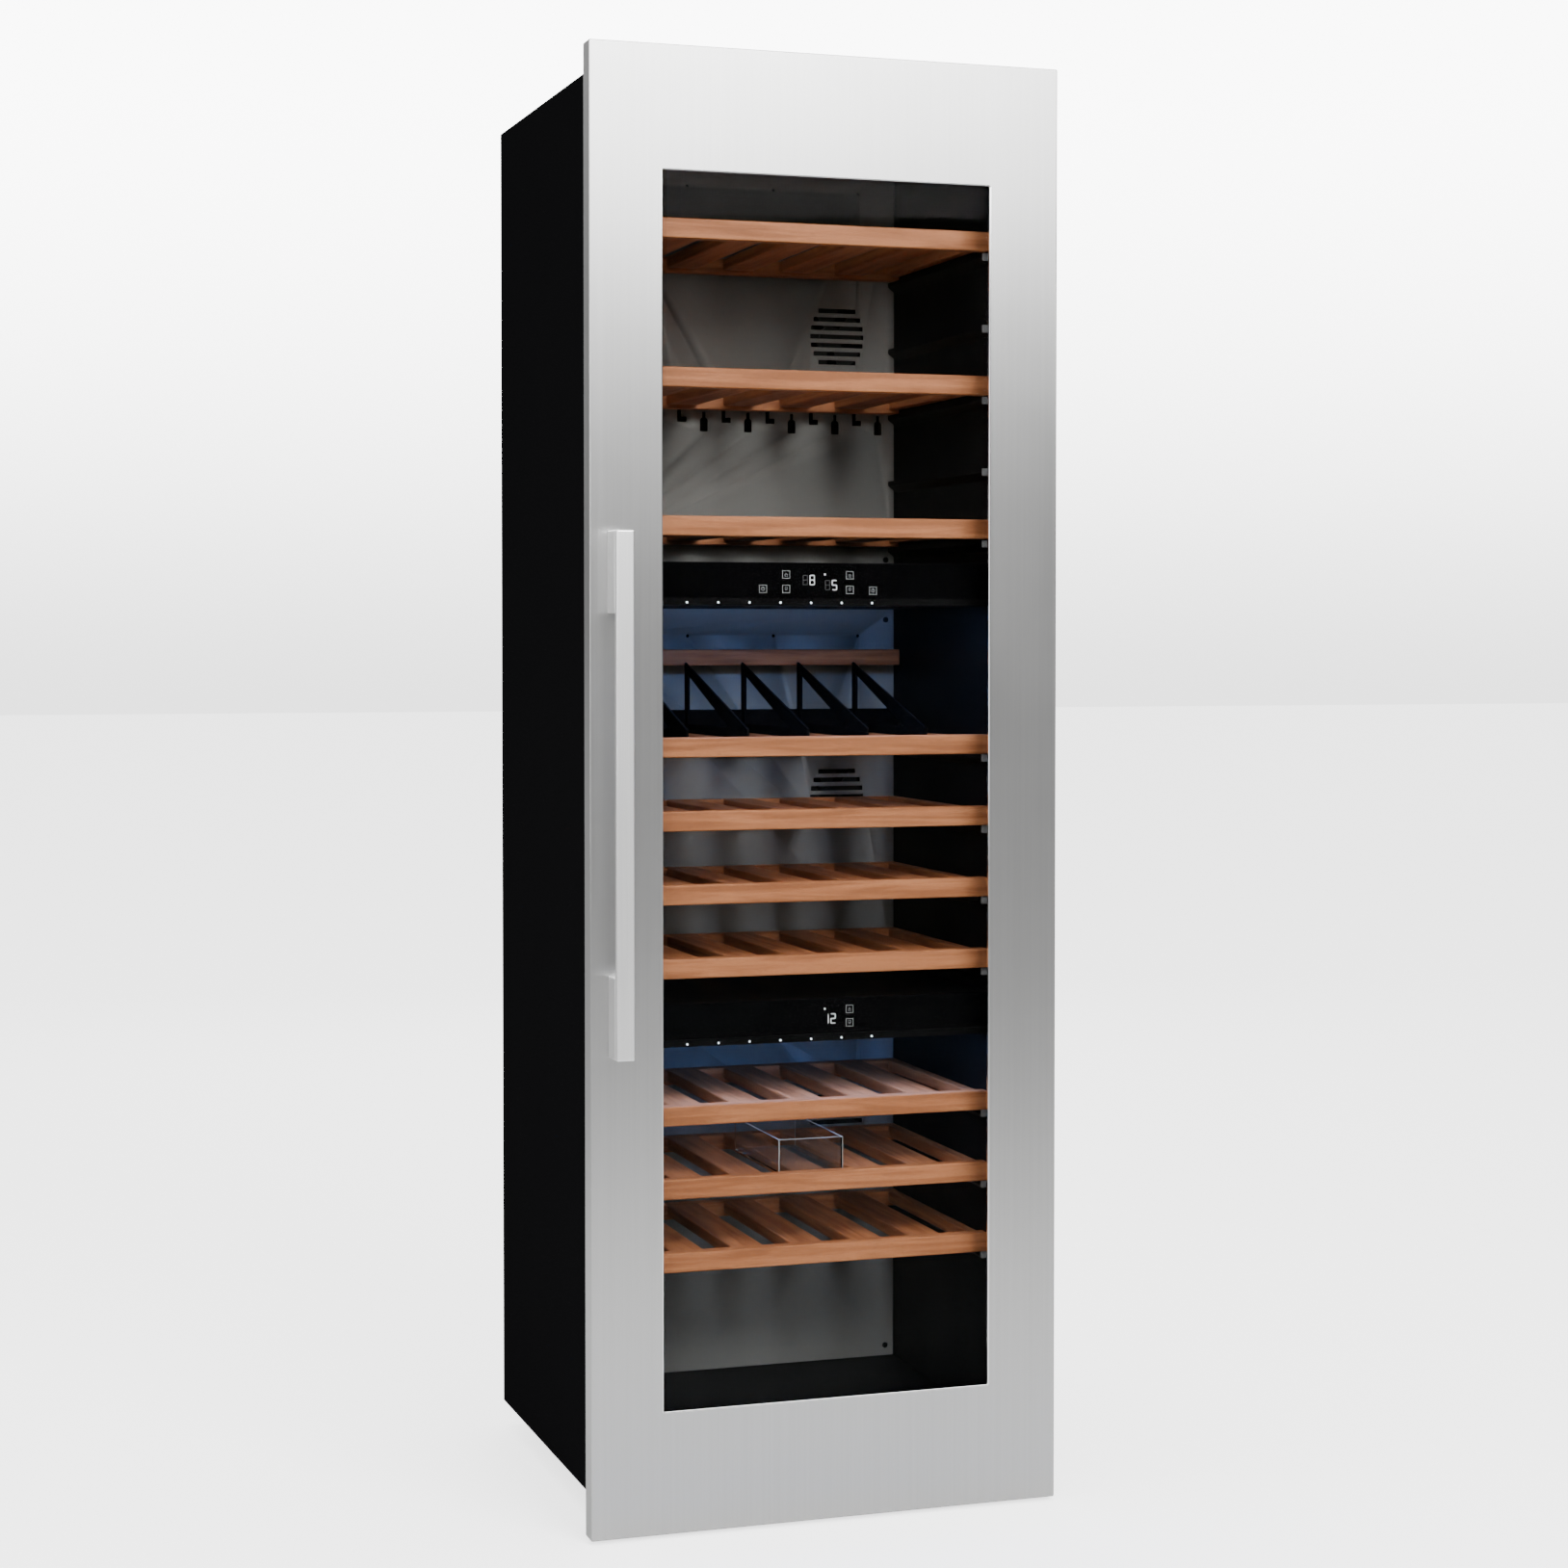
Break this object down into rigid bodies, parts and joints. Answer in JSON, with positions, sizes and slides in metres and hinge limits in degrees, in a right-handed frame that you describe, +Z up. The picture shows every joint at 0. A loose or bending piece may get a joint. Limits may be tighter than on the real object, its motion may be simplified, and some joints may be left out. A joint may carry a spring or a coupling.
{
  "type": "wine cooler",
  "caption": "Tall built-in wine cooler with three temperature zones, a steel-framed glass door on side hinges, a bar handle and pull-out beech shelves.",
  "frame": {"origin": "middle of the footprint on the floor, under the levelling feet", "axes": "+Z up, the door faces -Y, +X to the right of a person facing the door"},
  "size_m": [0.595, 0.601, 1.774],
  "materials": {
    "black_painted_steel": "satin black powder coat",
    "zinc_plated_steel": "zinc plated",
    "insulation_foam": "rigid polyurethane foam",
    "black_liner_plastic": "vacuum-formed, fine matt grain",
    "painted_back_plate": "light grey coat",
    "evaporator_aluminium": "mill finish",
    "compressor_enamel": "black enamel",
    "black_plastic": "moulded",
    "panel_black_glass": "polished black glass",
    "circuit_board": "solder resist",
    "lamp_lens": "clear diffuser",
    "brushed_steel": "fine vertical brushing",
    "door_frame_plastic": "moulded satin",
    "door_glass": "clear, lightly tinted",
    "spacer_aluminium": "satin",
    "seal_rubber": "soft matt",
    "beech": "oiled beech",
    "clear_acrylic": "clear, polished"
  },
  "bodies": {
    "cabinet": {"left_side_panel": "black_painted_steel", "right_side_panel": "black_painted_steel", "top_panel": "black_painted_steel", "base_panel": "black_painted_steel", "rear_cover": "zinc_plated_steel", "rear_grille": "black_painted_steel", "insulation_foam": "insulation_foam", "inner_liner": "black_liner_plastic", "upper_back_plate": "painted_back_plate", "middle_back_plate": "painted_back_plate", "lower_back_plate": "painted_back_plate", "upper_evaporator": "evaporator_aluminium", "middle_evaporator": "evaporator_aluminium", "lower_evaporator": "evaporator_aluminium", "compressor": "compressor_enamel", "condensate_tray": "black_plastic", "condenser": "evaporator_aluminium", "mains_inlet": "black_plastic", "upper_zone_divider": "black_liner_plastic", "lower_zone_divider": "black_liner_plastic", "upper_control_panel": "panel_black_glass", "lower_control_panel": "panel_black_glass", "upper_control_board": "circuit_board", "lower_control_board": "circuit_board", "upper_light_strip": "lamp_lens", "lower_light_strip": "lamp_lens", "top_hinge_bracket": "zinc_plated_steel", "bottom_hinge_bracket": "zinc_plated_steel"},
    "door": {"door_fascia": "brushed_steel", "door_inner_frame": "door_frame_plastic", "outer_glass": "door_glass", "inner_glass": "door_glass", "glass_spacer": "spacer_aluminium", "door_gasket": "seal_rubber", "top_hinge_bush": "black_plastic", "bottom_hinge_bush": "black_plastic", "handle_bar": "brushed_steel", "upper_handle_post": "brushed_steel", "lower_handle_post": "brushed_steel"},
    "shelf_01_body": {"shelf_01": "beech"},
    "shelf_02_body": {"shelf_02": "beech"},
    "shelf_03_body": {"shelf_03": "beech"},
    "shelf_04_body": {"shelf_04": "beech"},
    "shelf_05_body": {"shelf_05": "beech"},
    "shelf_06_body": {"shelf_06": "beech"},
    "shelf_07_body": {"shelf_07": "beech", "display_rack": "black_painted_steel", "display_rail": "beech"},
    "shelf_08_body": {"shelf_08": "beech"},
    "shelf_09_body": {"shelf_09": "beech"},
    "shelf_10_body": {"shelf_10": "beech"},
    "tray_body": {"humidity_tray": "clear_acrylic"},
    "upper_fan_body": {"upper_fan": "black_plastic"},
    "middle_fan_body": {"middle_fan": "black_plastic"},
    "lower_fan_body": {"lower_fan": "black_plastic"},
    "condenser_fan_body": {"condenser_fan": "black_plastic"},
    "front_left_foot_body": {"front_left_foot": "black_plastic"},
    "rear_left_foot_body": {"rear_left_foot": "black_plastic"},
    "front_right_foot_body": {"front_right_foot": "black_plastic"},
    "rear_right_foot_body": {"rear_right_foot": "black_plastic"}
  },
  "joints": [
    {"name": "door_hinge", "type": "hinge", "parent": "cabinet", "child": "door", "pos_m": [0.2855, -0.2435, 0.9], "axis": [0, 0, 1], "range_deg": [0, 115]},
    {"name": "shelf_01_slide", "type": "slide", "parent": "cabinet", "child": "shelf_01_body", "axis": [0, -1, 0], "range_m": [0, 0.2]},
    {"name": "shelf_02_slide", "type": "slide", "parent": "cabinet", "child": "shelf_02_body", "axis": [0, -1, 0], "range_m": [0, 0.2]},
    {"name": "shelf_03_slide", "type": "slide", "parent": "cabinet", "child": "shelf_03_body", "axis": [0, -1, 0], "range_m": [0, 0.2]},
    {"name": "shelf_04_slide", "type": "slide", "parent": "cabinet", "child": "shelf_04_body", "axis": [0, -1, 0], "range_m": [0, 0.2]},
    {"name": "shelf_05_slide", "type": "slide", "parent": "cabinet", "child": "shelf_05_body", "axis": [0, -1, 0], "range_m": [0, 0.2]},
    {"name": "shelf_06_slide", "type": "slide", "parent": "cabinet", "child": "shelf_06_body", "axis": [0, -1, 0], "range_m": [0, 0.2]},
    {"name": "shelf_07_slide", "type": "slide", "parent": "cabinet", "child": "shelf_07_body", "axis": [0, -1, 0], "range_m": [0, 0.2]},
    {"name": "shelf_08_slide", "type": "slide", "parent": "cabinet", "child": "shelf_08_body", "axis": [0, -1, 0], "range_m": [0, 0.2]},
    {"name": "shelf_09_slide", "type": "slide", "parent": "cabinet", "child": "shelf_09_body", "axis": [0, -1, 0], "range_m": [0, 0.2]},
    {"name": "shelf_10_slide", "type": "slide", "parent": "cabinet", "child": "shelf_10_body", "axis": [0, -1, 0], "range_m": [0, 0.2]},
    {"name": "tray_lift", "type": "slide", "parent": "shelf_02_body", "child": "tray_body", "axis": [0, 0, 1], "range_m": [0, 0.02]},
    {"name": "upper_fan_spin", "type": "hinge", "parent": "cabinet", "child": "upper_fan_body", "pos_m": [0.15, 0.1725, 1.48], "axis": [0, 1, 0], "continuous": true},
    {"name": "middle_fan_spin", "type": "hinge", "parent": "cabinet", "child": "middle_fan_body", "pos_m": [0.15, 0.1725, 0.86], "axis": [0, 1, 0], "continuous": true},
    {"name": "lower_fan_spin", "type": "hinge", "parent": "cabinet", "child": "lower_fan_body", "pos_m": [0.15, 0.1725, 0.43], "axis": [0, 1, 0], "continuous": true},
    {"name": "condenser_fan_spin", "type": "hinge", "parent": "cabinet", "child": "condenser_fan_body", "pos_m": [0.085, 0.2525, 0.18], "axis": [0, 1, 0], "continuous": true},
    {"name": "front_left_foot_screw", "type": "hinge", "parent": "cabinet", "child": "front_left_foot_body", "pos_m": [-0.2, -0.1495, 0.02], "axis": [0, 0, 1], "continuous": true},
    {"name": "rear_left_foot_screw", "type": "hinge", "parent": "cabinet", "child": "rear_left_foot_body", "pos_m": [-0.2, 0.2405, 0.02], "axis": [0, 0, 1], "continuous": true},
    {"name": "front_right_foot_screw", "type": "hinge", "parent": "cabinet", "child": "front_right_foot_body", "pos_m": [0.2, -0.1495, 0.02], "axis": [0, 0, 1], "continuous": true},
    {"name": "rear_right_foot_screw", "type": "hinge", "parent": "cabinet", "child": "rear_right_foot_body", "pos_m": [0.2, 0.2405, 0.02], "axis": [0, 0, 1], "continuous": true}
  ],
  "couplings": [
    {"joint": "shelf_01_slide", "follows": "door_hinge", "m_per_rad": 0.095},
    {"joint": "shelf_02_slide", "follows": "door_hinge", "m_per_rad": 0.095},
    {"joint": "shelf_03_slide", "follows": "door_hinge", "m_per_rad": 0.095},
    {"joint": "shelf_04_slide", "follows": "door_hinge", "m_per_rad": 0.095},
    {"joint": "shelf_05_slide", "follows": "door_hinge", "m_per_rad": 0.095},
    {"joint": "shelf_06_slide", "follows": "door_hinge", "m_per_rad": 0.095},
    {"joint": "shelf_07_slide", "follows": "door_hinge", "m_per_rad": 0.095},
    {"joint": "shelf_08_slide", "follows": "door_hinge", "m_per_rad": 0.095},
    {"joint": "shelf_09_slide", "follows": "door_hinge", "m_per_rad": 0.095},
    {"joint": "shelf_10_slide", "follows": "door_hinge", "m_per_rad": 0.095}
  ]
}
